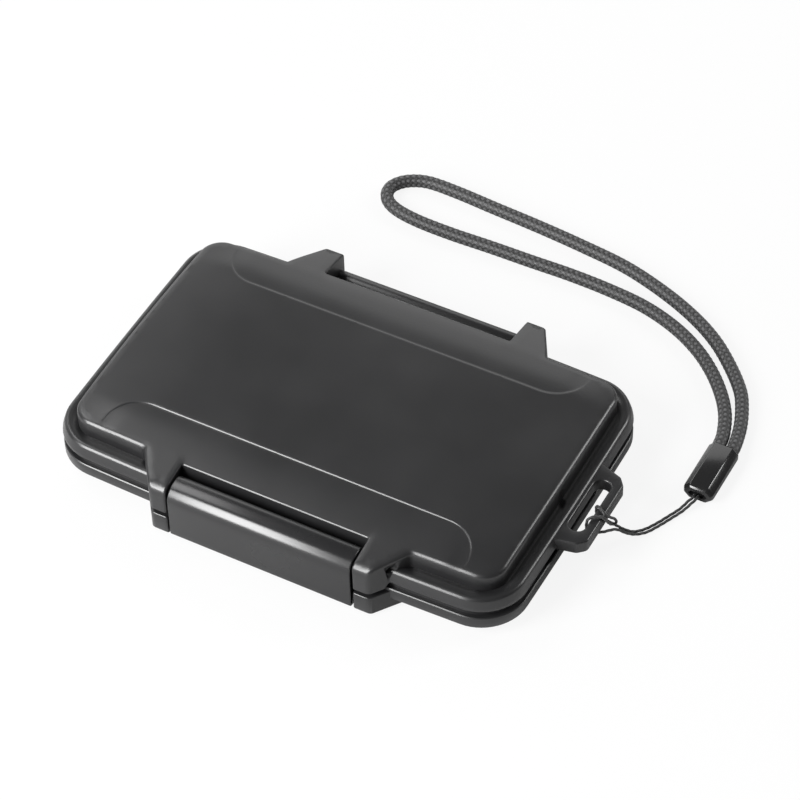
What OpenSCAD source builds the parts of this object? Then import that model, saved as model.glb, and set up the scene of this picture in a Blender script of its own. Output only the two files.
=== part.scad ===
// Hinged card case with a snap latch, sealed rim, card trays and a wrist strap.
// Millimetres. +X runs along the hinge, +Y points to the hinge, +Z is up.
// The origin is the middle of the flat face that the case rests on.

/* [Shell] */
// Width of the rim, left to right
shell_w = 132; // [120:1:150]
// Depth of the rim, front to back, at its middle
shell_d = 84.2; // [80:0.1:96]
// Radius of the rim's corners
rim_corner_r = 12; // [9:0.5:14]
// How far the front and back edges bow outward
front_bow = 1.3; // [0:0.1:2]
// How far the left and right edges bow outward
side_bow = 0.4; // [0:0.1:1]
// Step from the rim's edge in to the raised panel
rim_step = 4.7; // [4.2:0.1:5.6]
// Radius of the raised panel's corners
panel_corner_r = 6; // [4.5:0.5:8]
// Wall of the raised panel
wall_t = 1.9; // [1.5:0.1:2.2]
// Thickness of the case's floor
floor_t = 1.8; // [1.4:0.1:2.4]

/* [Heights] */
// Height of the plane where lid and base meet
parting_h = 8.7; // [8.4:0.1:10]
// Height of the rim's underside above the table
rim_under_h = 3.7; // [3.2:0.1:4.2]
// Height of the visible groove between the two rims
groove_h = 2.4; // [1:0.1:2.6]
// Depth of the visible groove between the two rims
groove_depth = 1.3; // [0.8:0.1:1.6]
// Thickness of the lid's rim
lid_rim_t = 3.3; // [3:0.1:4]
// Radius of the lid rim's rounded top
rim_round = 2.8; // [2:0.1:3]
// Height of the rounded top's crest above the tab
rim_crest = 0.9; // [0.6:0.1:1.1]
// Height of the lid's panel edge above its rim
panel_rise = 5; // [4.5:0.1:6]
// Crown of the lid's panel, from its corners to its middle
panel_crown = 1.6; // [1:0.1:1.8]
// How much higher the panel's left and right edges are in their middle than at their ends
end_crown = 0.8; // [0.2:0.1:1]
// Gap between the closed lid's and base's meeting faces
seam_gap = 0.1; // [0.05:0.05:0.2]

/* [Shoulders] */
// Distance of each shoulder's crease from the middle of the lid
crease_y = 24.4; // [22:0.2:26]
// Half length of the crease's straight stretch
crease_half_l = 42.3; // [36:0.5:46]
// Radius of the crease's bent ends
crease_bend_r = 9.6; // [8:0.2:11]
// Height of the step at the crease, down to the shoulder
crease_step = 0.4; // [0.3:0.05:0.5]
// Depth of the shoulders' outer edges below the lid's middle
shoulder_drop = 1.6; // [1.4:0.1:1.8]

/* [Hinge] */
// Radius of the hinge pin and the latch pin
pin_r = 1; // [0.8:0.05:1.1]
// Radial running clearance of a part that turns on a pin
pin_clear = 0.05; // [0.02:0.01:0.1]
// Distance of the hinge axis behind the rim
hinge_back = 2.75; // [2.6:0.05:3.4]
// Height of the hinge axis above the parting plane
hinge_rise = 0.5; // [0.2:0.1:0.6]
// Radius of the base's hinge barrel
barrel_r = 2.6; // [2.2:0.1:2.8]
// Half the space between the lid's two hinge ears
hinge_half_w = 27.2; // [24:0.2:30]
// Width of a hinge ear at its tip
hinge_ear_w = 6; // [5:0.2:7]
// How much wider a hinge ear is at its root
hinge_ear_flare = 6; // [4:0.5:8]
// Radius of a hinge ear round the pin
hinge_ear_r = 3.3; // [2.8:0.1:3.5]
// Side gap between ears and what turns between them
ear_gap = 0.3; // [0.2:0.05:0.6]

/* [Latch] */
// Width of the latch
latch_w = 52; // [46:1:58]
// Side gap between the latch and the ears
latch_gap = 0.5; // [0.4:0.1:1.2]
// Height of the latch's pivot above the parting plane
latch_pivot_h = 5.8; // [5.6:0.1:6.1]
// Distance of the latch's pivot inside the rim's front edge
latch_pivot_in = 0.8; // [0.6:0.1:1]
// Radius of the latch's barrel
latch_barrel_r = 2.5; // [2.1:0.1:2.6]
// Radius of the latch's rounded nose
latch_nose_r = 4; // [3.5:0.1:4.2]
// Wall of the latch
latch_t = 1.8; // [1.4:0.1:2]
// Distance from the pivot to the latch's front face
latch_front = 5.2; // [5:0.1:5.6]
// Height of the latch's lower edge above the table
latch_low_h = 0.8; // [0.6:0.1:1.2]
// How far the latch's toe reaches under the catch bar
catch_bite = 0.35; // [0.2:0.05:0.5]
// Clearance between the closed latch's toe and the catch bar
catch_clear = 0.3; // [0.2:0.05:0.4]
// Width of a front ear at its tip
front_ear_w = 4.6; // [3.6:0.2:5]
// How much wider a front ear is at its root
front_ear_flare = 8; // [5:0.5:9]
// Height of the gap between the lid's and base's front ears
front_ear_gap = 1.7; // [1.2:0.1:2.2]

/* [Strap tab] */
// How far the tab stands out past the rim
tab_reach = 7; // [6.8:0.1:8]
// Half length of the tab along the rim
tab_half_l = 13.6; // [12.5:0.2:16]
// Middle of the tab along the rim
tab_y = 0.6; // [-4:0.1:4]
// Thickness of the tab
tab_t = 4; // [3.4:0.1:4.4]
// Length of the strap slot
slot_l = 18; // [16:0.5:19]
// Width of the strap slot
slot_w = 4.4; // [4:0.1:4.6]

/* [Trays and seal] */
// Thickness of the base tray
base_tray_t = 5.8; // [5:0.1:6.4]
// Thickness of the lid tray
lid_tray_t = 4.9; // [4.2:0.1:5.2]
// Gap between a tray and the case's wall
tray_clear = 0.3; // [0.2:0.05:0.5]
// Width of a large card
card_w = 24; // [22:0.5:25]
// Length of a large card
card_l = 32; // [28:0.5:32.5]
// Depth of a large card's pocket
card_depth = 3; // [2.4:0.1:3.4]
// Width of a small card
small_card_w = 11; // [10:0.5:13]
// Length of a small card
small_card_l = 15; // [13:0.5:17]
// Depth of a small card's pocket
small_card_depth = 1.6; // [1.2:0.1:2]
// Play of a card in its pocket, each side
card_play = 0.3; // [0.2:0.05:0.5]
// Width of the channel for the fingertips
finger_w = 12; // [8:0.5:16]
// Width of the seal ring
seal_w = 1.7; // [1.4:0.1:1.8]
// Height of the seal ring
seal_h = 1.8; // [1.5:0.1:1.9]

/* [Strap] */
// Diameter of the thin loop cord
loop_d = 0.8; // [0.6:0.05:0.9]
// Diameter of the braided wrist cord
wrist_d = 3.7; // [3:0.1:3.8]
// Width of the ferrule
ferrule_w = 8.2; // [7.8:0.1:9]
// Height of the ferrule
ferrule_h = 5; // [4.6:0.1:5.6]

/* [Hidden] */
$fn = 64;

arc_steps = 7;
long_steps = 10;
short_steps = 7;
eps = 0.01;

half_w = shell_w / 2;
half_d = shell_d / 2;
base_rim_top = parting_h - groove_h / 2;
lid_rim_bottom = parting_h + groove_h / 2;
lid_rim_top = lid_rim_bottom + lid_rim_t;
panel_edge_h = lid_rim_top + panel_rise;
lid_top = panel_edge_h + panel_crown;
lid_land = parting_h + seam_gap;
ledge_h = lid_rim_top - 0.2;
crest_z = lid_rim_top + rim_crest;
base_round = 0.7;

cavity_in = rim_step + wall_t;
cavity_r = panel_corner_r - wall_t;
ceiling_h = lid_top - shoulder_drop - 2;

seal_in = groove_depth + 2;
seal_play = 0.2;
seal_floor = parting_h - seal_h - 0.8;
tongue_w = 1.1;
tongue_drop = 0.5;
seal_groove_w = seal_w + 2 * seal_play;

hinge_y = half_d + hinge_back;
hinge_z = parting_h + hinge_rise;
barrel_half_l = hinge_half_w - ear_gap;
hinge_wall_y = half_d - 4.3;
hinge_ear_drop = 1.7;
hinge_land_y = hinge_y - barrel_r - 0.7;

latch_half_w = latch_w / 2;
ear_in_x = latch_half_w + latch_gap;
ear_tip_x = ear_in_x + front_ear_w;
latch_pin_half_l = ear_tip_x + 2.4;
hinge_pin_half_l = hinge_half_w + hinge_ear_w - 0.6;
pin_recess = 2;
pivot_y = -(half_d - latch_pivot_in);
pivot_z = parting_h + latch_pivot_h;
front_y = pivot_y - latch_front;
bay_wall_y = -half_d + rim_step;
bay_floor_z = pivot_z - latch_barrel_r - 0.4;
nose_top_z = pivot_z + latch_barrel_r;
front_ear_low = parting_h - 0.3;
base_ear_top = front_ear_low - front_ear_gap;
base_ear_low = 0.5;
shoulder_low = lid_top - shoulder_drop;
ear_nose_r = 2.7;

toe_low = latch_low_h + 0.9;
toe_top = toe_low + 1.4;
bar_low = toe_top + catch_clear;
bar_top = base_ear_top - 0.2;
plate_in_y = front_y + latch_t;
bar_y = plate_in_y + 0.8;
toe_y = bar_y + catch_bite;
bar_half_l = latch_half_w - 1.7;

slot_x = half_w + 0.1 + slot_w / 2;
tab_end_x = half_w + tab_reach;

tray_half_w = half_w - cavity_in - tray_clear;
tray_half_d = half_d - cavity_in - tray_clear;
card_columns = 4;
card_rows = 2;
pocket_w = card_w + 2 * card_play;
pocket_l = card_l + 2 * card_play;
small_pocket_w = small_card_w + 2 * card_play;
small_pocket_l = small_card_l + 2 * card_play;
card_pitch_x = (2 * tray_half_w + pocket_w) / (card_columns + 1);
card_pitch_y = (2 * (tray_half_d - front_bow) + pocket_l) / (card_rows + 1);

ferrule_x = half_w + 21.1;
ferrule_y = [24.2, 41];
ferrule_z = ferrule_h / 2;
wrist_r = wrist_d / 2;
loop_r = loop_d / 2;

// Middle line of the wrist cord: out of the ferrule, round the loop and back
wrist_route = [
    [88.8, 41, 2.1], [88.7, 43.5, 2.1], [88.1, 47, 1.9], [87, 51.5, wrist_r], [84.9, 57, wrist_r],
    [82, 62.4, wrist_r], [76.3, 69, wrist_r], [68.8, 75.8, wrist_r], [60, 81.3, wrist_r],
    [49, 86.1, wrist_r], [36, 90, wrist_r], [22, 92, wrist_r], [8, 93.4, wrist_r],
    [-6, 94.4, wrist_r], [-18, 95.3, wrist_r], [-27, 95.3, wrist_r], [-32.4, 93.2, wrist_r],
    [-35.2, 89.9, wrist_r], [-35.4, 86.6, wrist_r], [-33.3, 83.5, wrist_r], [-29, 81.5, wrist_r],
    [-22, 80.4, wrist_r], [-12, 80.1, wrist_r], [0, 80.4, wrist_r], [12, 80.5, wrist_r],
    [24, 80.7, wrist_r], [36, 80.2, wrist_r], [47, 78.8, wrist_r], [57, 75.6, wrist_r],
    [65.5, 71, wrist_r], [72.4, 65.4, wrist_r], [78.1, 59, wrist_r], [81.9, 53, wrist_r],
    [84.2, 47, 1.9], [84.9, 43.5, 2.1], [85, 41, 2.1]
];

// Middle line of the thin cord: from the ferrule to the tab, hitched round the tab's bar, and back
loop_route = [
    [87.6, 24.2, 2.4], [87.5, 23.2, 2.4], [86.8, 21.4, 1.9], [85.7, 18.8, 1.2],
    [84.1, 15.6, 0.9], [82.4, 12.1, 0.8], [80.6, 8.6, 1], [78.6, 5.9, 1.9],
    [77, 3.8, 3.8], [75.8, 2.3, 5.8], [75, 0.9, 7.1], [74.1, -0.7, 7.8],
    [73.2, -2.1, 8.3], [71.8, -3.2, 8.6], [70.4, -3.9, 8.9], [69.8, -4.2, 10.2],
    [69.8, -4.3, 12], [70, -4, 13.3], [70.8, -3.3, 13.9], [72.1, -2.5, 13.9],
    [73.1, -2, 13.7], [73.7, -1.6, 12.8], [74, -0.9, 11.3], [74.3, 0, 9.8],
    [74.6, 0.7, 9.1], [75, 1.3, 8.8], [75.2, 1.7, 9.4], [74.9, 1.4, 10.5], [74.4, 0.4, 11.8],
    [73.8, -0.6, 13.1], [73, -0.8, 13.8], [71.8, -0.1, 13.9], [70.7, 0.7, 13.7],
    [69.9, 1.1, 12.8], [69.8, 1.3, 11], [70, 1.4, 9.5], [70.8, 1.5, 8.6],
    [72.2, 1.6, 8.5], [73.6, 1.9, 8], [74.4, 2.4, 7.2], [75, 3, 6.2],
    [76.2, 4.5, 4], [77.8, 6.5, 1.9], [79.7, 9.2, 1], [81.5, 12.5, 0.8],
    [83.2, 16, 0.9], [84.8, 19.2, 1.2], [85.8, 21.8, 1.9], [86.5, 23.2, 2.4], [86.5, 24.2, 2.4]
];

// Half size of an outline that lies a distance inside the rim's edge
function inset_w(d) = half_w - d;
function inset_d(d) = half_d - d;

// Points of a rounded rectangle whose sides bow outward, anticlockwise
function outline(hw, hd, r) =
    let (cx = hw - side_bow - r, cy = hd - front_bow - r,
         arc = [for (k = [0:3]) [for (i = [0:arc_steps])
             let (a = 90 * k + 90 * i / arc_steps,
                  sx = (k == 0 || k == 3) ? 1 : -1, sy = k < 2 ? 1 : -1)
             [sx * cx + r * cos(a), sy * cy + r * sin(a)]]],
         steps = [long_steps, short_steps, long_steps, short_steps],
         raw = [for (k = [0:3]) each concat(arc[k],
             let (a = arc[k][arc_steps], b = arc[(k + 1) % 4][0])
             [for (i = [1:steps[k] - 1]) a + (b - a) * i / steps[k]])])
    [for (p = raw) [p.x + sign(p.x) * side_bow * (1 - pow(p.y / hd, 2)),
                    p.y + sign(p.y) * front_bow * (1 - pow(p.x / hw, 2))]];

// Solid through outlines at rising heights. A level is [inset along X, inset along Y, radius, height],
// and a fifth number lifts the middle of its left and right sides.
module loft(levels) {
    rings = [for (l = levels) outline(inset_w(l[0]), inset_d(l[1]), l[2])];
    n = len(rings[0]);
    m = len(levels);
    polyhedron(
        points = [for (k = [0:m - 1]) let (l = levels[k], lift = len(l) > 4 ? l[4] : 0)
            each [for (p = rings[k]) [p.x, p.y, l[3] + lift * (1 - pow(p.y / inset_d(l[1]), 2))]]],
        faces = concat(
            [[for (i = [0:n - 1]) i]],
            [for (k = [0:m - 2]) for (i = [0:n - 1]) let (a = k * n + i, b = k * n + (i + 1) % n)
                each [[a, a + n, b], [b, a + n, b + n]]],
            [[for (i = [n - 1:-1:0]) (m - 1) * n + i]]));
}

// Straight-sided prism on an outline between two heights
module prism(inset, r, low, high) {
    translate([0, 0, low])
        linear_extrude(high - low)
            polygon(outline(inset_w(inset), inset_d(inset), r));
}

// A band between two outlines, such as a groove, a tongue or a ring
module band(inset, width, low, high) {
    difference() {
        prism(inset, rim_corner_r - inset, low, high);
        prism(inset + width, rim_corner_r - inset - width, low - eps, high + eps);
    }
}

// Extrudes a profile drawn as [y, z] along X, between two values of x
module along_x(x0, x1) {
    translate([x0, 0, 0]) rotate([90, 0, 90]) linear_extrude(x1 - x0) children();
}

module rod(y, z, r, x0, x1) {
    along_x(x0, x1) translate([y, z]) circle(r);
}

module on_both_sides() {
    children();
    mirror([1, 0, 0]) children();
}

// Tube along a route, one ring of corners at each of its points
function unit(v) = v / norm(v);
function tangent(route, i) =
    unit(route[min(i + 1, len(route) - 1)] - route[max(i - 1, 0)]);
function across(v, t) = unit(v - t * (v * t));

module tube(route, r, sides, start_side) {
    n = len(route);
    ends = [unit(route[1] - route[0]), unit(route[n - 1] - route[n - 2])];
    t = [for (i = [0:n - 1]) i == 0 ? ends[0] : i == n - 1 ? ends[1] : tangent(route, i)];
    u = [for (i = 0, v = across(start_side, t[0]); i < n;
              i = i + 1, v = i < n ? across(v, t[i]) : v) v];
    polyhedron(
        points = [for (i = [0:n - 1]) let (w = cross(t[i], u[i])) for (k = [0:sides - 1])
            let (a = 360 * (k + 0.5) / sides) route[i] + r * (cos(a) * u[i] + sin(a) * w)],
        faces = concat(
            [[for (k = [0:sides - 1]) k]],
            [for (i = [0:n - 2]) for (k = [0:sides - 1])
                let (a = i * sides + k, b = i * sides + (k + 1) % sides)
                each [[a, a + sides, b], [b, a + sides, b + sides]]],
            [[for (k = [sides - 1:-1:0]) (n - 1) * sides + k]]));
}

// Plan of one shoulder: straight along the crease, bent outward at both ends
module shoulder_plan() {
    bend_y = crease_y + crease_bend_r;
    bend = [for (a = [0:10:90]) [crease_half_l + crease_bend_r * sin(a), crease_bend_r * cos(a) - bend_y]];
    right = concat(bend, [[crease_half_l + crease_bend_r, front_y - 3]]);
    left = [for (i = [len(right) - 1:-1:0]) [-right[i].x, right[i].y]];
    polygon(concat(right, left));
}

// Space over one shoulder, which falls ever more steeply from the crease to the ears. Its raised ends
// let the crease fade out.
module above_shoulder() {
    high = lid_top + 1;
    start_z = lid_top - crease_step;
    span = -bay_wall_y - crease_y;
    steps = 8;
    fade = 0.6;
    profile = concat([[front_y - 4, high], [1 - crease_y, high], [1 - crease_y, start_z]],
        [for (i = [0:steps]) let (t = i / steps)
            [-crease_y - t * span, start_z - (start_z - shoulder_low) * t * t]],
        [[bay_wall_y - 0.4, shoulder_low + 0.8], [front_y - 4, shoulder_low + 0.8]]);
    end_x = crease_half_l + crease_bend_r + 0.5;
    stations = [[-end_x, fade], [-crease_half_l, 0], [crease_half_l, 0], [end_x, fade]];
    n = len(profile);
    polyhedron(
        points = [for (s = stations) for (i = [0:n - 1])
            [s.x, profile[i].x, profile[i].y + (i < 2 ? 1 : s.y)]],
        faces = concat(
            [[for (i = [n - 1:-1:0]) i]],
            [for (k = [0:2]) for (i = [0:n - 1]) let (a = k * n + i, b = k * n + (i + 1) % n)
                each [[a, b, a + n], [b, b + n, a + n]]],
            [[for (i = [0:n - 1]) 3 * n + i]]));
}

module shoulder_cut() {
    intersection() {
        translate([0, 0, shoulder_low - 1]) linear_extrude(shoulder_drop + 3) shoulder_plan();
        above_shoulder();
    }
}

// Plan of a front ear on the right, wide at its root and narrow at its tip
module front_ear_plan() {
    nose_y = front_y + 0.1;
    polygon([[ear_in_x, -half_d + 6.5], [ear_in_x, nose_y], [ear_tip_x - 1.2, nose_y],
             [ear_tip_x - 0.4, nose_y + 0.4], [ear_tip_x, nose_y + 1],
             [ear_tip_x + front_ear_flare, -half_d + 6.5]]);
}

// Side view of a lid ear at the front, as [y, z]
module lid_ear_side() {
    nose_y = front_y + 0.1 + ear_nose_r;
    nose_z = shoulder_low - 1.1 - ear_nose_r;
    translate([nose_y, nose_z]) circle(ear_nose_r);
    polygon([[-half_d + 6.6, lid_rim_bottom], [-half_d - 0.3, lid_rim_bottom],
             [-half_d - 0.3, front_ear_low], [nose_y - ear_nose_r, front_ear_low],
             [nose_y - ear_nose_r, nose_z], [nose_y, nose_z + ear_nose_r],
             [-half_d + rim_step, shoulder_low], [-half_d + 6.6, lid_top]]);
}

// Side view of a base ear at the front, as [y, z]
module base_ear_side() {
    nose_r = 0.8;
    nose_y = front_y + 0.1 + nose_r;
    translate([nose_y, base_ear_low + nose_r]) circle(nose_r);
    polygon([[-half_d + 6.6, base_ear_low], [nose_y, base_ear_low],
             [nose_y - nose_r, base_ear_low + nose_r], [nose_y - nose_r, base_ear_top],
             [-half_d + 6.6, base_ear_top]]);
}

module lid_front_ear() {
    intersection() {
        translate([0, 0, front_ear_low]) linear_extrude(lid_top) front_ear_plan();
        along_x(ear_in_x - 1, half_w) lid_ear_side();
    }
}

module base_front_ear() {
    intersection() {
        linear_extrude(parting_h) front_ear_plan();
        along_x(ear_in_x - 1, half_w) base_ear_side();
    }
}

// Plan of a hinge ear on the right
module hinge_ear_plan() {
    tip_x = hinge_half_w + hinge_ear_w;
    tip_y = hinge_y + hinge_ear_r;
    polygon([[hinge_half_w, half_d - 6.5], [tip_x + hinge_ear_flare, half_d - 6.5],
             [tip_x + 2.9, half_d - 0.7], [tip_x + 0.3, tip_y - 2.2], [tip_x - 0.4, tip_y - 0.7],
             [tip_x - 1.4, tip_y], [hinge_half_w, tip_y]]);
}

// Side view of a hinge ear, as [y, z]
module hinge_ear_side() {
    corner_r = 1.5;
    tip_y = hinge_y + hinge_ear_r;
    tip_z = shoulder_low - 0.2 - hinge_ear_drop;
    translate([hinge_y, hinge_z]) circle(hinge_ear_r);
    translate([tip_y - corner_r, tip_z - corner_r]) circle(corner_r);
    polygon([[half_d - 6.5, lid_land], [hinge_y, lid_land], [hinge_y, hinge_z], [tip_y, hinge_z],
             [tip_y, tip_z - corner_r], [tip_y - corner_r, tip_z],
             [half_d - rim_step, shoulder_low], [half_d - 6.5, lid_top]]);
}

module hinge_ear() {
    intersection() {
        linear_extrude(lid_top) hinge_ear_plan();
        along_x(hinge_half_w - 1, half_w) hinge_ear_side();
    }
}

// Tab with the strap slot, at the rim's right side
module strap_tab() {
    root_x = half_w - 3;
    end = tab_half_l;
    corner = 3.4;
    translate([0, tab_y, lid_rim_top - tab_t])
        linear_extrude(tab_t)
            difference() {
                polygon([[root_x, -end - 1.2], [half_w + 0.2, -end - 0.2], [tab_end_x - 2.6, -end + 0.7],
                         [tab_end_x - 1.1, -end + 1.2], [tab_end_x - 0.2, -end + 2.1],
                         [tab_end_x, -end + corner], [tab_end_x, end - corner - 1],
                         [tab_end_x - 0.3, end - corner - 0.2], [tab_end_x - 1.3, end - corner + 0.9],
                         [tab_end_x - 3, end - 1.6], [half_w + 0.2, end], [root_x, end + 1]]);
                for (s = [-1, 1])
                    translate([slot_x, s * (slot_l - slot_w) / 2]) circle(slot_w / 2);
                square_slot();
            }
}

module square_slot() {
    translate([slot_x - slot_w / 2, -(slot_l - slot_w) / 2]) square([slot_w, slot_l - slot_w]);
}

// Inside of the lid or base, straight-walled
module cavity(low, high) {
    prism(cavity_in, cavity_r, low, high);
}

module lid_panel() {
    loft([[rim_step - 0.3, rim_step - 0.3, panel_corner_r, lid_rim_bottom + 1],
          [rim_step, rim_step, panel_corner_r, panel_edge_h - 1, end_crown],
          [rim_step + 0.2, rim_step + 0.2, panel_corner_r, panel_edge_h - 0.5, end_crown],
          [rim_step + 0.6, rim_step + 0.6, panel_corner_r - 0.4, panel_edge_h - 0.1, end_crown],
          [rim_step + 1.4, rim_step + 1.2, panel_corner_r - 1, panel_edge_h, end_crown],
          [rim_step + 8, rim_step + 1.8, panel_corner_r - 1.4, panel_edge_h + 0.45 * panel_crown,
           0.6 * end_crown],
          [rim_step + 16, rim_step + 2.2, panel_corner_r - 1.8, panel_edge_h + 0.8 * panel_crown,
           0.25 * end_crown],
          [rim_step + 28, rim_step + 2.6, panel_corner_r - 2.2, lid_top]]);
}

module lid_rim() {
    loft([[0.2, 0.2, rim_corner_r, lid_rim_bottom],
          [0, 0, rim_corner_r, lid_rim_bottom + 0.4],
          [0, 0, rim_corner_r, crest_z - rim_round],
          [0.13 * rim_round, 0.13 * rim_round, rim_corner_r - 0.2, crest_z - 0.5 * rim_round],
          [0.5 * rim_round, 0.5 * rim_round, rim_corner_r - 1, crest_z - 0.13 * rim_round],
          [0.9 * rim_round, 0.9 * rim_round, rim_corner_r - 2, crest_z],
          [rim_step - 0.7, rim_step - 0.7, rim_corner_r - 3.4, ledge_h + 0.1]]);
}

module lid_shell() {
    color("#2b2b2d")
    difference() {
        union() {
            difference() {
                union() {
                    lid_panel();
                    hinge_wall();
                    on_both_sides() lid_front_ear();
                    on_both_sides() hinge_ear();
                }
                for (s = [0, 1]) mirror([0, s, 0]) shoulder_cut();
            }
            lid_rim();
            prism(groove_depth, rim_corner_r - groove_depth, lid_land, lid_rim_bottom + 1);
            band(seal_in + (seal_groove_w - tongue_w) / 2, tongue_w,
                 parting_h - tongue_drop, lid_rim_bottom);
            strap_tab();
        }
        cavity(parting_h - 1, ceiling_h);
        latch_bay();
        hinge_bay();
        pin_hole(pivot_y, pivot_z, latch_pin_half_l + pin_recess);
        pin_hole(hinge_y, hinge_z, hinge_pin_half_l + pin_recess + 1);
    }
}

module pin_hole(y, z, half_l) {
    rod(y, z, pin_r, -half_l, half_l);
}

// Back wall of the panel between the hinge ears
module hinge_wall() {
    translate([-hinge_half_w - 1, half_d - 6.5, lid_rim_bottom])
        cube([2 * hinge_half_w + 2, 6.5, lid_top - lid_rim_bottom]);
}

// Room for the latch in the lid's front
module latch_bay() {
    along_x(-ear_in_x, ear_in_x)
        polygon([[bay_wall_y, lid_top + 1], [bay_wall_y, bay_floor_z],
                 [front_y - 1, bay_floor_z], [front_y - 1, lid_top + 1]]);
}

// Room for the hinge barrel in the lid's back
module hinge_bay() {
    barrel_top = hinge_z + barrel_r;
    along_x(-hinge_half_w, hinge_half_w)
        polygon([[hinge_wall_y, lid_top + 1], [hinge_wall_y, barrel_top],
                 [hinge_land_y, barrel_top], [hinge_land_y, parting_h - 1],
                 [hinge_y + 6, parting_h - 1], [hinge_y + 6, lid_top + 1]]);
}

module base_rim() {
    loft([[rim_step - 1, rim_step - 1, rim_corner_r - 3.4, rim_under_h],
          [base_round, base_round, rim_corner_r - 0.5, rim_under_h],
          [0.2, 0.2, rim_corner_r, rim_under_h + 0.3],
          [0, 0, rim_corner_r, rim_under_h + base_round],
          [0, 0, rim_corner_r, base_rim_top - 0.4],
          [0.2, 0.2, rim_corner_r, base_rim_top]]);
}

module base_panel() {
    loft([[rim_step + 2, rim_step + 2, panel_corner_r - 1, 0],
          [rim_step + 0.9, rim_step + 0.9, panel_corner_r - 0.6, 0.3],
          [rim_step + 0.3, rim_step + 0.3, panel_corner_r, 1.1],
          [rim_step, rim_step, panel_corner_r, 2.2],
          [rim_step - 0.3, rim_step - 0.3, panel_corner_r, base_rim_top - 1]]);
}

module base_shell() {
    color("#2b2b2d")
    difference() {
        union() {
            base_panel();
            base_rim();
            prism(groove_depth, rim_corner_r - groove_depth, base_rim_top - 1, parting_h);
            on_both_sides() base_front_ear();
            catch_bar();
            hinge_barrel();
        }
        cavity(floor_t, parting_h + 1);
        band(seal_in, seal_groove_w, seal_floor, parting_h + 1);
        on_both_sides() hinge_ear_room();
        rod(hinge_y, hinge_z, pin_r + pin_clear, -hinge_half_w, hinge_half_w);
    }
}

// Bar on the base's front that the latch's toe snaps under
module catch_bar() {
    along_x(-bar_half_l, bar_half_l)
        polygon([[-half_d + 3, bar_low + 0.8], [-half_d + 1, bar_low], [bar_y + 0.3, bar_low],
                 [bar_y, bar_low + 0.4], [bar_y, bar_top - 0.6], [bar_y + 0.6, bar_top],
                 [-half_d + 3, bar_top]]);
}

// Barrel between the lid's hinge ears, on a web from the rim
module hinge_barrel() {
    rod(hinge_y, hinge_z, barrel_r, -barrel_half_l, barrel_half_l);
    along_x(-barrel_half_l, barrel_half_l)
        polygon([[half_d - 3, hinge_z - barrel_r], [hinge_y, hinge_z - barrel_r],
                 [hinge_y, hinge_z], [hinge_land_y, parting_h], [half_d - 3, parting_h]]);
}

// Pocket in the base's rim for a hinge ear's round end
module hinge_ear_room() {
    room_y = hinge_y - hinge_ear_r - 0.4;
    along_x(hinge_half_w - ear_gap, hinge_half_w + hinge_ear_w + hinge_ear_flare)
        polygon([[room_y, parting_h + 1], [room_y, hinge_z - hinge_ear_r - 0.4],
                 [hinge_y + 4, hinge_z - hinge_ear_r - 0.4], [hinge_y + 4, parting_h + 1]]);
}

// Side view of the latch's wall: barrel, rounded nose, front plate and toe, as [y, z]
module latch_side() {
    nose_y = front_y + latch_nose_r;
    nose_z = nose_top_z - latch_nose_r;
    translate([pivot_y, pivot_z]) circle(latch_barrel_r);
    translate([nose_y, nose_top_z - latch_t]) square([pivot_y - nose_y, latch_t]);
    intersection() {
        translate([nose_y, nose_z]) difference() {
            circle(latch_nose_r);
            circle(latch_nose_r - latch_t);
        }
        translate([front_y - 1, nose_z]) square([latch_nose_r + 1, latch_nose_r + 1]);
    }
    translate([front_y, latch_low_h + 0.6]) square([latch_t, nose_z - latch_low_h - 0.6]);
    translate([front_y + 0.6, latch_low_h]) square([latch_t - 0.6, 0.7]);
    translate([front_y + 0.6, latch_low_h + 0.6]) circle(0.6);
    polygon([[plate_in_y - 0.5, latch_low_h], [plate_in_y, latch_low_h],
             [toe_y - 0.5, toe_low], [toe_y, toe_top - 0.6], [toe_y, toe_top],
             [plate_in_y - 0.5, toe_top + 0.4]]);
}

// Side view of the latch's end walls, as [y, z]
module latch_end_side() {
    inner_y = -half_d - 0.5;
    polygon([[plate_in_y - 0.5, toe_top + 3], [inner_y, toe_top + 5.5], [inner_y, bay_floor_z],
             [pivot_y, pivot_z - latch_barrel_r], [pivot_y, nose_top_z - 0.5],
             [plate_in_y + 1, nose_top_z - 0.5], [plate_in_y - 0.5, nose_top_z - latch_nose_r]]);
}

module latch() {
    end_t = 1.5;
    color("#333335")
    difference() {
        union() {
            along_x(-latch_half_w, latch_half_w) latch_side();
            on_both_sides() along_x(latch_half_w - end_t, latch_half_w) latch_end_side();
        }
        rod(pivot_y, pivot_z, pin_r + pin_clear, -ear_in_x, ear_in_x);
    }
}

module latch_pin() {
    color("#8c8c90") rod(pivot_y, pivot_z, pin_r, -latch_pin_half_l, latch_pin_half_l);
}

module hinge_pin() {
    color("#8c8c90") rod(hinge_y, hinge_z, pin_r, -hinge_pin_half_l, hinge_pin_half_l);
}

module seal_ring() {
    color("#8f9296") band(seal_in + seal_play, seal_w, seal_floor, seal_floor + seal_h);
}

// Places its children at the middle of each card's pocket
module at_each_card() {
    for (i = [0:card_columns - 1], j = [0:card_rows - 1])
        translate([(i - (card_columns - 1) / 2) * card_pitch_x,
                   (j - (card_rows - 1) / 2) * card_pitch_y, 0])
            children();
}

module tray_block(low, high) {
    prism(cavity_in + tray_clear, cavity_r - tray_clear, low, high);
}

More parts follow.
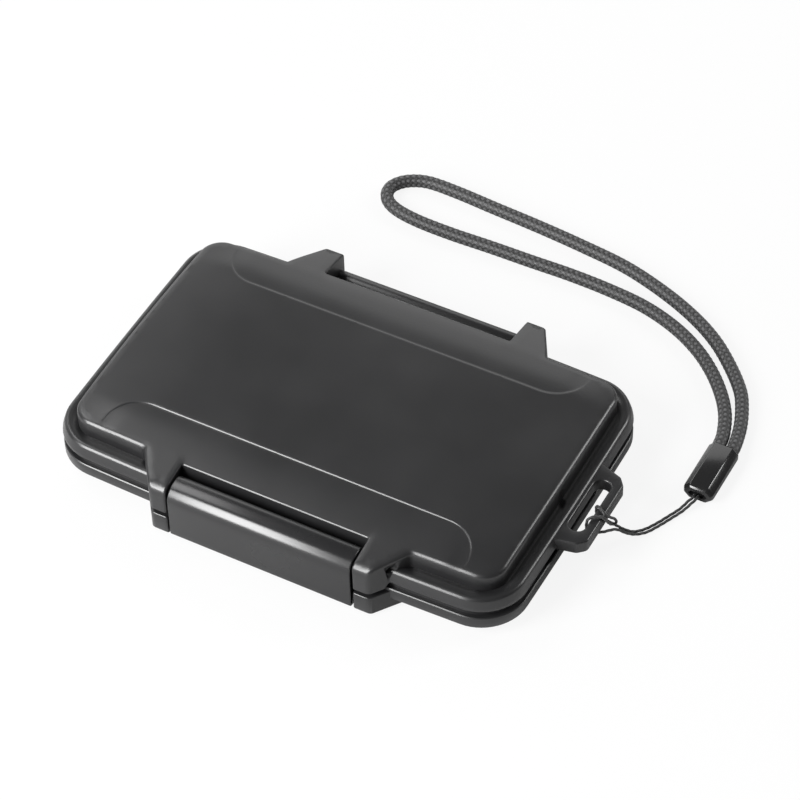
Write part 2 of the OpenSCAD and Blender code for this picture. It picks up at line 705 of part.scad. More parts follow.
module base_tray() {
    top = floor_t + base_tray_t;
    finger_l = (card_columns - 1) * card_pitch_x + pocket_w;
    color("#3a3a3c")
    difference() {
        tray_block(floor_t, top);
        at_each_card()
            translate([-pocket_w / 2, -pocket_l / 2, top - card_depth])
                cube([pocket_w, pocket_l, card_depth + 1]);
        for (j = [0:card_rows - 1])
            translate([-finger_l / 2, (j - (card_rows - 1) / 2) * card_pitch_y - finger_w / 2,
                       top - card_depth])
                cube([finger_l, finger_w, card_depth + 1]);
    }
}

module lid_tray() {
    low = ceiling_h - lid_tray_t;
    color("#3a3a3c")
    difference() {
        tray_block(low, ceiling_h);
        at_each_card() {
            translate([-small_pocket_w / 2, -small_pocket_l / 2, low - 1])
                cube([small_pocket_w, small_pocket_l, small_card_depth + 1]);
            translate([0, small_pocket_l / 2, low - 1]) cylinder(h = small_card_depth + 1, r = 4);
        }
    }
}

module loop_cord() {
    color("#1c1c1d") tube(loop_route, loop_r, 8, [0, 0, 1]);
}

// Flattened sleeve with a domed lower end, flat where the thin cord meets it
module ferrule() {
    half_flat = (ferrule_w - ferrule_h) / 2;
    dome_r = 9;
    dome_y = ferrule_y[0] + dome_r - 0.3;
    color("#1a1a1b")
    intersection() {
        translate([ferrule_x, ferrule_y[1], ferrule_z]) rotate([90, 0, 0])
            linear_extrude(ferrule_y[1] - ferrule_y[0]) {
                for (s = [-1, 1]) translate([s * half_flat, 0]) circle(ferrule_h / 2);
                square([2 * half_flat, ferrule_h], center = true);
            }
        translate([ferrule_x, dome_y, ferrule_z]) union() {
            sphere(dome_r);
            translate([-dome_r, 0, -dome_r]) cube(2 * dome_r);
        }
    }
}

module wrist_cord() {
    color("#161616") tube(wrist_route, wrist_r, 8, [0, 0, 1]);
}

lid_shell();
base_shell();
latch();
latch_pin();
hinge_pin();
seal_ring();
base_tray();
lid_tray();
loop_cord();
ferrule();
wrist_cord();
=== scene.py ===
"""Dresses the hinged card case: moulded shells, snap latch, card trays, seal, pins and wrist strap."""

import math

import bmesh
import bpy
import numpy as np
from mathutils import Matrix, Vector
from mathutils.geometry import delaunay_2d_cdt


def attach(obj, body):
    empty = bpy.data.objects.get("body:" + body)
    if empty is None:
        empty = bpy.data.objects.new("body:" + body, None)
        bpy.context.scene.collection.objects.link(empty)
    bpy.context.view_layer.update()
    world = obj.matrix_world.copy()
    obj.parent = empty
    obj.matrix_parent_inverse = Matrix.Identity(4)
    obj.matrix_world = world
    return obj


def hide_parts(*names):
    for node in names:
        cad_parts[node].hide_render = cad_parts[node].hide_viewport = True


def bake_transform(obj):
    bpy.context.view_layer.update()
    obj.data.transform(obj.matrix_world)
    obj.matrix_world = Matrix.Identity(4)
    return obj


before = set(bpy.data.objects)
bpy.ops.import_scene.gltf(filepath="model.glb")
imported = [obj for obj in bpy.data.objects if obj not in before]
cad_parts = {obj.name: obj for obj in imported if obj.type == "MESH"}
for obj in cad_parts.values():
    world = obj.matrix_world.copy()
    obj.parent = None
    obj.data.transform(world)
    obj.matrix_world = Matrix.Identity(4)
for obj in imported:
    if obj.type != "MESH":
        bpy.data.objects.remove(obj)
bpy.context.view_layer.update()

MM = 0.001

# Shell, in millimetres
HALF_W, HALF_D = 66.0, 42.1
FRONT_BOW, SIDE_BOW = 1.3, 0.4
RIM_STEP = 4.7
PANEL_R = 6.0
CAVITY_IN = 6.6
RIM_UNDER, BASE_RIM_TOP, PARTING, LID_LAND = 3.7, 7.5, 8.7, 8.8
LID_RIM_LOW, LID_RIM_TOP, LEDGE, RIM_ROUND = 9.9, 13.2, 13.0, 1.2
SEAL_FLOOR, GROOVE = 6.1, 1.3
PANEL_EDGE, LID_TOP = 18.2, 19.8
CREASE_X, CREASE_Y, CREASE_R, SHOULDER_Z, BEND_Y = 42.3, 24.4, 9.6, 19.35, 29.0
CEILING = 16.2

# How the lid's top falls from its middle to its edges, in millimetres
MIDDLE_CROWN = 0.15
END_FALL_X, END_FALL_W = 38, 21.9
END_CROWN, END_CROWN_HALF = 0.8, 36
CORNER_FALL_Y, CORNER_FALL_D, CORNER_FALL_X = 27, 9.5, (40, 52)
SHOULDER_FADE_X = (49, 53)

# Middle of the lid rim's rounded edge: inset from the outline, and height
RIM_EDGE_IN, RIM_EDGE_Z = 1.77, 12.6

# Rooms cut into the rims: the latch's and the hinge's in the lid, the hinge ears' in the base
ROOM_X, ROOM_Y, HINGE_ROOM_Y = 27.3, 37.0, 41.55
EAR_ROOM_X, EAR_ROOM_LOW, EAR_ROOM_Y = (26.8, 39.5), 5.0, 41.15

# Hinge and latch
HINGE_Y, HINGE_Z, BARREL_R, BARREL_X = 44.85, 9.2, 2.6, 26.9
HINGE_EAR_X, HINGE_WALL_Y, HINGE_EAR_R = 27.2, 37.8, 3.3
PIVOT_Y, PIVOT_Z, LATCH_R, LATCH_X = -41.3, 14.5, 2.5, 26.0
EAR_X, EAR_FRONT, BAY_WALL_Y, BAY_FLOOR = 26.5, -46.4, -37.4, 11.6
FRONT_EAR_LOW, BASE_EAR_TOP, BASE_EAR_LOW = 8.4, 6.7, 0.5
CATCH_X = 24.3
PIN_R, LATCH_PIN_HALF, HINGE_PIN_HALF = 1.0, 33.5, 32.6

# Camera, from the fit to the photograph
AZIMUTH, ELEVATION, ROLL = 29.54554, 47.42331, -1.88154
FOCAL_PX, IMAGE_PX, DISTANCE = 3299.3, 800, 851.020
SHIFT_RIGHT, SHIFT_UP = -13.081, -12.538


def make_camera():
    a, e, roll = (math.radians(v) for v in (AZIMUTH, ELEVATION, ROLL))
    back = Vector((math.sin(a) * math.cos(e), -math.cos(a) * math.cos(e), math.sin(e)))
    level = Vector((math.cos(a), math.sin(a), 0))
    rise = back.cross(level)
    right = level * math.cos(roll) + rise * math.sin(roll)
    up = rise * math.cos(roll) - level * math.sin(roll)
    data = bpy.data.cameras.new("camera")
    data.sensor_width = 36
    data.lens = FOCAL_PX * data.sensor_width / IMAGE_PX
    data.clip_start = 0.05
    data.clip_end = 20
    camera = bpy.data.objects.new("camera", data)
    bpy.context.scene.collection.objects.link(camera)
    place = (back * DISTANCE - right * SHIFT_RIGHT - up * SHIFT_UP) * MM
    turn = Matrix((right, up, back)).transposed()
    camera.matrix_world = Matrix.Translation(place) @ turn.to_4x4()
    bpy.context.scene.camera = camera


make_camera()


# Node helpers

def new_material(name):
    material = bpy.data.materials.new(name)
    material.use_nodes = True
    tree = material.node_tree
    return material, tree, tree.nodes["Principled BSDF"]


def add_node(tree, kind, **values):
    node = tree.nodes.new(kind)
    for key, value in values.items():
        if key in node.inputs:
            node.inputs[key].default_value = value
        else:
            setattr(node, key, value)
    return node


def noise(tree, scale, detail=3.0, roughness=0.55):
    """Noise in object space; scale is in cycles per millimetre."""
    coords = add_node(tree, "ShaderNodeTexCoord")
    texture = add_node(tree, "ShaderNodeTexNoise", Scale=scale / MM, Detail=detail, Roughness=roughness)
    tree.links.new(coords.outputs["Object"], texture.inputs["Vector"])
    return texture.outputs["Fac"]


def remap(tree, source, low, high, start=0.3, end=0.7):
    node = add_node(tree, "ShaderNodeMapRange")
    node.inputs["From Min"].default_value = start
    node.inputs["From Max"].default_value = end
    node.inputs["To Min"].default_value = low
    node.inputs["To Max"].default_value = high
    tree.links.new(source, node.inputs["Value"])
    return node.outputs["Result"]


def ramp(tree, source, stops):
    node = add_node(tree, "ShaderNodeValToRGB")
    elements = node.color_ramp.elements
    while len(elements) < len(stops):
        elements.new(0.5)
    for element, (place, colour) in zip(elements, stops):
        element.position = place
        element.color = (*colour, 1)
    tree.links.new(source, node.inputs["Fac"])
    return node.outputs["Color"]


def bump(tree, source, height, below=None):
    """Bump of a height in millimetres."""
    node = add_node(tree, "ShaderNodeBump", Strength=1.0, Distance=height * MM)
    tree.links.new(source, node.inputs["Height"])
    if below is not None:
        tree.links.new(below, node.inputs["Normal"])
    return node.outputs["Normal"]


def moulded(name, dark, light, rough, grain, height):
    """Moulded plastic: fine spark-eroded grain, soft flow marks and a slightly uneven gloss."""
    material, tree, shader = new_material(name)
    cloud = noise(tree, 0.035, 4)
    fine = noise(tree, grain, 2, 0.6)
    colour = ramp(tree, cloud, [(0.3, dark), (0.7, light)])
    tree.links.new(colour, shader.inputs["Base Color"])
    tree.links.new(remap(tree, cloud, rough[0], rough[1]), shader.inputs["Roughness"])
    waves = bump(tree, noise(tree, 0.09, 1), 0.02)
    tree.links.new(bump(tree, fine, height, waves), shader.inputs["Normal"])
    shader.inputs["IOR"].default_value = 1.5
    return material


def rubber(name, dark, light):
    material, tree, shader = new_material(name)
    cloud = noise(tree, 0.12, 4)
    tree.links.new(ramp(tree, cloud, [(0.3, dark), (0.7, light)]), shader.inputs["Base Color"])
    tree.links.new(remap(tree, cloud, 0.62, 0.78), shader.inputs["Roughness"])
    tree.links.new(bump(tree, noise(tree, 3.0, 3), 0.02), shader.inputs["Normal"])
    return material


def steel(name):
    material, tree, shader = new_material(name)
    shader.inputs["Metallic"].default_value = 1.0
    cloud = noise(tree, 0.8, 4)
    tree.links.new(ramp(tree, cloud, [(0.3, (0.30, 0.30, 0.31)), (0.7, (0.42, 0.42, 0.43))]),
                   shader.inputs["Base Color"])
    tree.links.new(remap(tree, cloud, 0.25, 0.4), shader.inputs["Roughness"])
    return material


def fibre(name, dark, light):
    """Yarn with painted shade and highlight: the attribute runs from 0 in the gaps, painted dark, to 1 on
    top of a strand, painted light.
    """
    material, tree, shader = new_material(name)
    painted_shade = add_node(tree, "ShaderNodeAttribute", attribute_name="painted_shade").outputs["Fac"]
    tree.links.new(ramp(tree, painted_shade, [(0.0, dark), (0.45, dark), (1.0, light)]), shader.inputs["Base Color"])
    strands = noise(tree, 6.0, 3)
    tree.links.new(bump(tree, strands, 0.03), shader.inputs["Normal"])
    tree.links.new(remap(tree, strands, 0.45, 0.7), shader.inputs["Roughness"])
    shader.inputs["Sheen Weight"].default_value = 0.15
    shader.inputs["Sheen Roughness"].default_value = 0.4
    return material


SHELL = moulded("shell", (0.0085, 0.0085, 0.009), (0.012, 0.012, 0.0125), rough=(0.30, 0.35),
                 grain=1.6, height=0.013)
LATCH = moulded("latch_plastic", (0.008, 0.008, 0.0085), (0.011, 0.011, 0.0115), rough=(0.24, 0.29),
                 grain=6.0, height=0.003)
GLOSSY = moulded("ferrule_plastic", (0.008, 0.008, 0.008), (0.011, 0.011, 0.0115), rough=(0.12, 0.18),
                 grain=4.0, height=0.001)
STEEL = steel("pin_steel")
TRAY = rubber("tray_rubber", (0.030, 0.030, 0.031), (0.042, 0.042, 0.043))
SEAL = rubber("seal_rubber", (0.22, 0.23, 0.24), (0.27, 0.28, 0.29))
# The yarn colours run from painted shade in the gaps to a painted highlight on the strands' tops.
BRAID = fibre("braid", (0.004, 0.004, 0.004), (0.075, 0.075, 0.077))
THIN_CORD = fibre("thin_cord", (0.010, 0.010, 0.010), (0.035, 0.035, 0.036))


# Mesh helpers. A solid is (points, faces), in millimetres.

def solid(points, faces):
    return np.asarray(points, float), [list(face) for face in faces]


def mirrored(shape):
    points, faces = shape
    return points * (-1, 1, 1), [face[::-1] for face in faces]


def both_sides(shape):
    return [shape, mirrored(shape)]


def piece(name, solids, material, smooth=35.0):
    """One Blender object from closed solids, each with its normals outward."""
    whole = bmesh.new()
    for points, faces in solids:
        part = bmesh.new()
        verts = [part.verts.new(Vector(p) * MM) for p in points]
        for face in faces:
            if len(set(face)) > 2:
                part.faces.new([verts[i] for i in face])
        bmesh.ops.remove_doubles(part, verts=part.verts, dist=0.002 * MM)
        loose = [v for v in part.verts if not v.link_faces]
        bmesh.ops.delete(part, geom=loose, context="VERTS")
        bmesh.ops.recalc_face_normals(part, faces=part.faces)
        if part.calc_volume(signed=True) < 0:
            bmesh.ops.reverse_faces(part, faces=part.faces)
        scratch = bpy.data.meshes.new("scratch")
        part.to_mesh(scratch)
        part.free()
        whole.from_mesh(scratch)
        bpy.data.meshes.remove(scratch)
    mesh = bpy.data.meshes.new(name)
    whole.to_mesh(mesh)
    whole.free()
    mesh.shade_smooth()
    mesh.set_sharp_from_angle(angle=math.radians(smooth))
    mesh.materials.append(material)
    obj = bpy.data.objects.new(name, mesh)
    bpy.context.scene.collection.objects.link(obj)
    return obj


def stand_for(obj, node, body):
    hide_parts(node)
    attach(obj, body)


def unit(v):
    return v / np.maximum(np.linalg.norm(v, axis=-1, keepdims=True), 1e-12)


def rounded(corners, step=1.2):
    """Closed loop through corners (x, y, radius), with arcs there and points at most a step apart."""
    out = []
    n = len(corners)
    for i, (x, y, r) in enumerate(corners):
        p = np.array((x, y), float)
        a = np.array(corners[i - 1][:2], float) - p
        b = np.array(corners[(i + 1) % n][:2], float) - p
        la, lb = np.linalg.norm(a), np.linalg.norm(b)
        a, b = a / la, b / lb
        half = math.acos(max(-1, min(1, a @ b))) / 2
        if r <= 0 or half > math.radians(89.5):
            out.append(p)
            continue
        reach = min(r / math.tan(half), 0.49 * la if corners[i - 1][2] > 0 else 0.98 * la,
                    0.49 * lb if corners[(i + 1) % n][2] > 0 else 0.98 * lb)
        r = reach * math.tan(half)
        middle = p + unit(a + b) * r / math.sin(half)
        start, end = p + a * reach - middle, p + b * reach - middle
        turn = math.atan2(start[0] * end[1] - start[1] * end[0], start @ end)
        steps = max(3, int(abs(turn) / math.radians(12)))
        for k in range(steps + 1):
            c, s = math.cos(turn * k / steps), math.sin(turn * k / steps)
            out.append(middle + (start[0] * c - start[1] * s, start[0] * s + start[1] * c))
    loop = []
    for p, q in zip(out, out[1:] + out[:1]):
        count = max(1, math.ceil(np.linalg.norm(q - p) / step - 1e-6))
        loop += [p + (q - p) * k / count for k in range(count)]
    return np.array([p for p, q in zip(loop, loop[1:] + loop[:1]) if np.linalg.norm(q - p) > 1e-4])


def is_ccw(loop):
    x, y = loop[:, 0], loop[:, 1]
    return (x * np.roll(y, -1) - np.roll(x, -1) * y).sum() > 0


def shrink(loop, distance):
    """Moves a loop towards its left side: inward for an outer loop, and into the material for a hole."""
    a = unit(loop - np.roll(loop, 1, 0))
    b = unit(np.roll(loop, -1, 0) - loop)
    left_a, left_b = np.stack((-a[:, 1], a[:, 0]), 1), np.stack((-b[:, 1], b[:, 0]), 1)
    n = unit(left_a + left_b)
    stretch = np.clip((n * left_b).sum(1), 0.6, 1)
    return loop + n * (np.broadcast_to(distance, len(loop)) / stretch)[:, None]


def inside(points, loop):
    x, y = points[:, 0][:, None], points[:, 1][:, None]
    x0, y0 = loop[:, 0], loop[:, 1]
    x1, y1 = np.roll(x0, -1), np.roll(y0, -1)
    crosses = (y0 > y) != (y1 > y)
    with np.errstate(divide="ignore", invalid="ignore"):
        at = x0 + (y - y0) / (y1 - y0) * (x1 - x0)
    return (crosses & (x < at)).sum(1) % 2 == 1


def fill(loops, holes=(), lines=(), dots=()):
    """Triangles between closed loops, through lines and dots; every point is (x, y, z)."""
    points, edges = [], []
    for run, closed in [(l, True) for l in loops] + [(l, False) for l in lines]:
        first = len(points)
        points += [tuple(p) for p in run]
        edges += [(first + i, first + i + 1) for i in range(len(run) - 1)]
        if closed:
            edges.append((len(points) - 1, first))
    points += [tuple(p) for p in dots]
    flat = [Vector(p[:2]) for p in points]
    verts, _, faces, origin, _, _ = delaunay_2d_cdt(flat, edges, [], 1, 1e-5, True)
    source = np.array([o[0] if o else -1 for o in origin])
    if (source < 0).any():
        raise ValueError("lines of a surface cross each other")
    middles = np.array([sum((verts[i] for i in f), Vector((0, 0))) / len(f) for f in faces])
    keep = inside(middles, np.asarray(loops[0])[:, :2])
    for hole in holes:
        keep &= ~inside(middles, np.asarray(hole)[:, :2])
    return [[int(source[i]) for i in f] for f, k in zip(faces, keep) if k], points


def wall_faces(first, second, count):
    return [[first + i, first + (i + 1) % count, second + (i + 1) % count, second + i] for i in range(count)]


def lift(loop, z):
    return np.column_stack((loop, np.broadcast_to(z, len(loop))))


def plate(loops, top, bottom, edge=0.5, under=0.2, lines=(), dots=(), under_lines=(), steps=5):
    """Solid over a plan (its outer loop, then its holes) between two surfaces, with rounded edges."""
    points, faces, tops, bottoms = [], [], [], []
    for loop in loops:
        count = len(loop)
        low_in = shrink(loop, under)
        rings = [lift(low_in, bottom(low_in)), lift(loop, bottom(loop) + under)]
        for k in range(steps):
            turn = math.pi / 2 * k / (steps - 1)
            ring = shrink(loop, edge * (1 - math.cos(turn)))
            rings.append(lift(ring, top(ring) - edge * (1 - math.sin(turn))))
        base = len(points)
        for ring in rings:
            points += [tuple(p) for p in ring]
        for k in range(len(rings) - 1):
            faces += wall_faces(base + k * count, base + (k + 1) * count, count)
        tops.append((base + (len(rings) - 1) * count, rings[-1]))
        bottoms.append((base, rings[0]))
    for ends, inner_lines, inner_dots in ((tops, lines, dots), (bottoms, under_lines, ())):
        rims = [ring for _, ring in ends]
        found, used = fill(rims, rims[1:], inner_lines, inner_dots)
        index = [start + i for start, ring in ends for i in range(len(ring))]
        extra = used[len(index):]
        index += range(len(points), len(points) + len(extra))
        points += extra
        faces += [[index[i] for i in face] for face in found]
    return solid(points, faces)


def bar(profile, x0, x1, edge=0.3, steps=4):
    """Extrudes a closed profile of (y, z) along X, with rounded ends."""
    if not is_ccw(profile):
        profile = profile[::-1]
    turns = [math.pi / 2 * k / (steps - 1) for k in range(steps)]
    places = [(x0 + edge * (1 - math.sin(t)), edge * (1 - math.cos(t))) for t in turns[::-1]]
    places += [(x1 - edge * (1 - math.sin(t)), edge * (1 - math.cos(t))) for t in turns]
    count, points, faces = len(profile), [], []
    for x, inset in places:
        points += [(x, y, z) for y, z in shrink(profile, inset)]
    for k in range(len(places) - 1):
        faces += wall_faces(k * count, (k + 1) * count, count)
    faces += [list(range(count)), list(range(len(points) - count, len(points)))]
    return solid(points, faces)


def turned_x(y, z, section, sides=32):
    """Turned solid round a line along X; section is (x, radius) from one end to the other."""
    points, faces = [], []
    for x, r in section:
        points += [(x, y + r * math.cos(2 * math.pi * k / sides), z + r * math.sin(2 * math.pi * k / sides))
                   for k in range(sides)]
    for k in range(len(section) - 1):
        faces += wall_faces(k * sides, (k + 1) * sides, sides)
    faces += [list(range(sides)), list(range(len(points) - sides, len(points)))]
    return solid(points, faces)


def arc(y, z, r, start, end, step=9):
    """Points of an arc in a profile, from one angle to another in degrees."""
    count = max(2, int(abs(end - start) / step))
    return [(y + r * math.cos(math.radians(start + (end - start) * k / count)),
             z + r * math.sin(math.radians(start + (end - start) * k / count))) for k in range(count + 1)]


# The rim's outline

STOPS = (26.4, 26.6, 27.2, 27.4, 39.4, 39.6)
FAR_STOP = 44.0


def half_outline(half_w, half_d, r, step=2.2):
    """Right half of the rounded rectangle whose sides bow outward, from the front's middle to the back's."""
    cx, cy = half_w - SIDE_BOW - r, half_d - FRONT_BOW - r
    near = sorted(set(np.arange(0, FAR_STOP, step)) | set(STOPS))
    xs = near + list(np.linspace(FAR_STOP, cx, 6)[:-1])
    corner = [math.radians(90 * k / 14) for k in range(15)]
    run = [(x, -(cy + r)) for x in xs]
    run += [(cx + r * math.sin(a), -cy - r * math.cos(a)) for a in corner]
    run += [(cx + r, y) for y in np.linspace(-cy, cy, 25)[1:-1]]
    run += [(cx + r * math.cos(a), cy + r * math.sin(a)) for a in corner]
    run += [(x, cy + r) for x in xs[::-1]]
    p = np.array(run)
    bow_x = np.sign(p[:, 0]) * SIDE_BOW * (1 - (p[:, 1] / half_d) ** 2)
    bow_y = np.sign(p[:, 1]) * FRONT_BOW * (1 - (p[:, 0] / half_w) ** 2)
    return p + np.column_stack((bow_x, bow_y))


def closed(half):
    """Whole loop from its right half, anticlockwise."""
    left = half[1:-1][::-1] * (-1, 1)
    return np.concatenate((half, left))


def corner_r(inset):
    return float(np.interp(inset, (0, 0.7, 3.7, 4.9, 6.6, 9.0), (12, 11.4, 8.5, 7.0, 4.1, 3.0)))


def outline_at(inset):
    return closed(half_outline(HALF_W - inset, HALF_D - inset, corner_r(inset)))


def rim_solid(section, mend, hollow):
    """Sweeps a section of (inset, height) round the rim. A hollow one closes on itself."""
    rings = [mend(lift(outline_at(inset), z)) for inset, z in section]
    count, points, faces = len(rings[0]), np.concatenate(rings), []
    for k in range(len(rings) - (0 if hollow else 1)):
        faces += wall_faces(k * count, (k + 1) % len(rings) * count, count)
    if not hollow:
        faces += [list(range(count)), list(range(len(points) - count, len(points)))]
    return solid(points, faces)


# Lid

FRONT_EAR = [(EAR_X, EAR_FRONT, 0.7), (31.1, EAR_FRONT, 1.9), (38.1, -36.9, 1.4)]
HINGE_EAR = [(38.6, 36.88, 1.6), (36.1, 41.4, 8), (33.4, 46.3, 2), (32.4, 48.15, 1.4), (27.2, 48.15, 0.6)]
EAR_NOSE = (-43.7, 14.4, 2.7)
EAR_STEP_Y = -42.35
HINGE_EAR_NOSE = (46.65, 14.8, 1.5)
# Lines across the ears where the underside steps down: two values of |x|, and y
EAR_TRACKS = ((27.0, 32.6, -42.4), (27.0, 32.6, -42.3), (27.5, 35.4, 41.45), (27.5, 35.4, 41.55))


def smoothstep(value, start, end):
    t = np.clip((value - start) / (end - start), 0, 1)
    return t * t * (3 - 2 * t)


def soft_min(a, b, k):
    h = np.clip(0.5 + 0.5 * (b - a) / k, 0, 1)
    return b * (1 - h) + a * h - k * h * (1 - h)


def ear_height(y):
    """Height of an ear's top along its side view."""
    nose_y, nose_z, nose_r = EAR_NOSE
    front = np.interp(y, (nose_y, BAY_WALL_Y), (nose_z + nose_r, PANEL_EDGE))
    drop = np.sqrt(np.maximum(nose_r ** 2 - (y - nose_y) ** 2, 0.02))
    front = np.where(y < nose_y, nose_z + drop, front)
    back_y, back_z, back_r = HINGE_EAR_NOSE
    back = np.interp(y, (-BAY_WALL_Y, back_y), (PANEL_EDGE, back_z + back_r))
    drop = np.sqrt(np.maximum(back_r ** 2 - (y - back_y) ** 2, 0.02))
    back = np.where(y > back_y, back_z + drop, back)
    far = np.full_like(y, 99.0)
    return np.where(y < BAY_WALL_Y + 0.8, front, np.where(y > -BAY_WALL_Y - 0.8, back, far))


def lid_height(p):
    """Height of the lid's top: crowned panel, two shoulders that slope to the ears, and the ears."""
    x, y = np.abs(p[:, 0]), np.abs(p[:, 1])
    u = np.clip((x - END_FALL_X) / END_FALL_W, 0, 1.2)
    side = PANEL_EDGE + END_CROWN * (1 - (y / END_CROWN_HALF) ** 2)
    panel = LID_TOP - MIDDLE_CROWN * np.minimum(y / CREASE_Y, 1) ** 2
    panel -= (panel - side) * u * u
    fall = np.clip((y - CORNER_FALL_Y) / CORNER_FALL_D, 0, 1.1) ** 1.5
    panel -= (panel - PANEL_EDGE) * fall * smoothstep(x, *CORNER_FALL_X)
    slope = (SHOULDER_Z - PANEL_EDGE) / (-BAY_WALL_Y - BEND_Y)
    shoulder = SHOULDER_Z - slope * (np.sqrt((y - BEND_Y) ** 2 + 6) + y - BEND_Y - 0.5) / 2
    shoulder = soft_min(shoulder, panel - 0.12, 0.2)
    r = np.hypot(np.maximum(x - CREASE_X, 0), np.minimum(y - CREASE_Y - CREASE_R, 0))
    within = 1 - smoothstep(r, CREASE_R - 0.2, CREASE_R + 0.12)
    within *= 1 - smoothstep(x, *SHOULDER_FADE_X)
    height = panel + (shoulder - panel) * within
    return soft_min(height, ear_height(p[:, 1]), 0.35)


def crease(radius, side):
    """Line that runs beside a shoulder's crease."""
    bend = np.radians(np.linspace(0, 96, 26))
    middle = -CREASE_Y - CREASE_R
    ends = [(CREASE_X + radius * math.sin(a), middle + radius * math.cos(a)) for a in bend]
    right = np.array([(x, middle + radius) for x in np.arange(0, CREASE_X, 1.4)] + ends)
    whole = np.concatenate((right[1:][::-1] * (-1, 1), right))
    return whole * (1, side)


def panel_loop():
    rim = half_outline(HALF_W - RIM_STEP, HALF_D - RIM_STEP, PANEL_R)
    kept = [(x, y, 0) for x, y in rim if abs(y) < 36.85 and x > 39.7]
    right = [(0, BAY_WALL_Y, 0), (EAR_X, BAY_WALL_Y, 0.5)] + FRONT_EAR + kept
    right += HINGE_EAR + [(HINGE_EAR_X, HINGE_WALL_Y, 0.5), (0, HINGE_WALL_Y, 0)]
    left = [(-x, y, r) for x, y, r in right[1:-1][::-1]]
    return rounded(right + left)


def panel_edge(loop):
    """Radius of the top edge at each point of the panel's loop."""
    x, y = np.abs(loop[:, 0]), np.abs(loop[:, 1])
    radius = np.where(x < 27.6, 0.55, np.where(y > 38.5, 0.75, 1.2))
    for _ in range(6):
        radius = (np.roll(radius, 1) + radius * 2 + np.roll(radius, -1)) / 4
    return radius


def lid_under(p):
    """Height of the panel's underside: hidden in the rim, except under the ears."""
    x, y = np.abs(p[:, 0]), p[:, 1]
    low = np.full(len(p), LID_RIM_LOW + 0.1)
    low = np.where(y < EAR_STEP_Y, FRONT_EAR_LOW, low)
    round_end = HINGE_Z - np.sqrt(np.maximum(HINGE_EAR_R ** 2 - (y - HINGE_Y) ** 2, 0))
    return np.where(y > 41.5, round_end, low)


def panel_solid():
    loop = panel_loop()
    edge = panel_edge(loop)
    inner = shrink(loop, edge)
    tracks = [crease(CREASE_R + d, s) for d in (-0.7, -0.22, -0.1, 0, 0.14, 0.6) for s in (-1, 1)]
    tracks = [t[inside(t, shrink(loop, 1.9))] for t in tracks]
    step = 1.5
    grid = np.array([(x, y) for x in np.arange(-60, 60.1, step) for y in np.arange(-46.5, 48.1, step)])
    grid = grid[inside(grid, shrink(loop, 1.8))]
    taken = np.concatenate([inner] + tracks)
    gap = np.array([np.min(np.hypot(*(taken - g).T)) for g in grid])
    grid = grid[gap > 0.7]
    lines = [lift(t, lid_height(t)) for t in tracks]
    cavity = outline_at(CAVITY_IN)
    deeper = outline_at(CAVITY_IN + 0.06)
    across = []
    for low_x, high_x, y in EAR_TRACKS:
        for side in (-1, 1):
            track = np.array([(side * low_x, y), (side * high_x, y)])
            across.append(lift(track, lid_under(track)))
    curve = [HINGE_Y + HINGE_EAR_R * math.sin(math.radians(a)) for a in range(-75, 90, 15)]
    for y in curve:
        for side in (-1, 1):
            track = np.array([(side * 27.5, y), (side * 31.6, y)])
            across.append(lift(track, lid_under(track)))
    walls = [lift(cavity, LID_RIM_LOW + 0.1), lift(deeper, CEILING)]
    rings = [np.vstack((wall, wall[:1])) for wall in walls]
    return plate([loop], lid_height, lid_under, edge=edge, under=0.0, lines=lines,
                 dots=lift(grid, lid_height(grid)), under_lines=across + rings)


def lid_mend(ring):
    """Cuts the latch's room and the hinge's room into a ring of the lid's rim."""
    x, y, z = ring[:, 0], ring[:, 1], ring[:, 2]
    bay = (np.abs(x) < ROOM_X) & (y < -ROOM_Y)
    z = np.where(bay, np.minimum(z, BAY_FLOOR), z)
    back = (np.abs(x) < ROOM_X) & (y > ROOM_Y)
    z = np.where(back, np.minimum(z, HINGE_Z + BARREL_R), z)
    y = np.where(back, np.minimum(y, HINGE_ROOM_Y), y)
    return np.column_stack((x, y, z))


RIM_EDGE = [(RIM_EDGE_IN - RIM_ROUND * math.cos(math.radians(t)),
             RIM_EDGE_Z + RIM_ROUND * math.sin(math.radians(t))) for t in range(90, 9, -8)]
LID_SECTION = [(6.6, LID_LAND + 0.1), (6.6, 12.3), (5.6, LEDGE - 0.1), (4.7, LEDGE), (4.3, 13.05),
               (3.9, 13.25), (3.3, 13.55), (2.6, 13.75)]
LID_SECTION += RIM_EDGE
LID_SECTION += [(0.12, 11.3), (0, LID_RIM_LOW + 0.5), (0.08, LID_RIM_LOW + 0.2), (0.3, LID_RIM_LOW),
                (GROOVE, LID_RIM_LOW), (GROOVE, LID_LAND + 0.1), (1.4, LID_LAND), (3.8, LID_LAND),
                (3.85, LID_LAND - 0.5), (3.95, LID_LAND - 0.6), (4.75, LID_LAND - 0.6),
                (4.85, LID_LAND - 0.5), (4.9, LID_LAND), (6.5, LID_LAND)]

TAB_END, TAB_LOW = 73.0, 9.2
TAB = [(63, -14.2, 0), (66.2, -13.2, 1.5), (TAB_END - 2.1, -12.2, 2), (TAB_END, -10.3, 1.8),
       (TAB_END, 10.2, 1.2), (TAB_END - 1.8, 12.5, 1.4), (66.2, 14.2, 2), (63, 15.2, 0)]
SLOT_X, SLOT_Y, SLOT_HALF, SLOT_R = 68.3, 0.6, 9.0, 2.2


def flat(height):
    return lambda p: np.full(len(p), float(height))


def tab_solid():
    near, far = SLOT_X - SLOT_R, SLOT_X + SLOT_R
    low, high = SLOT_Y - SLOT_HALF, SLOT_Y + SLOT_HALF
    hole = rounded([(far, low, SLOT_R), (near, low, SLOT_R), (near, high, SLOT_R), (far, high, SLOT_R)])
    if is_ccw(hole):
        hole = hole[::-1]
    return plate([rounded(TAB), hole], flat(LID_RIM_TOP), flat(TAB_LOW), edge=0.55, under=0.4)


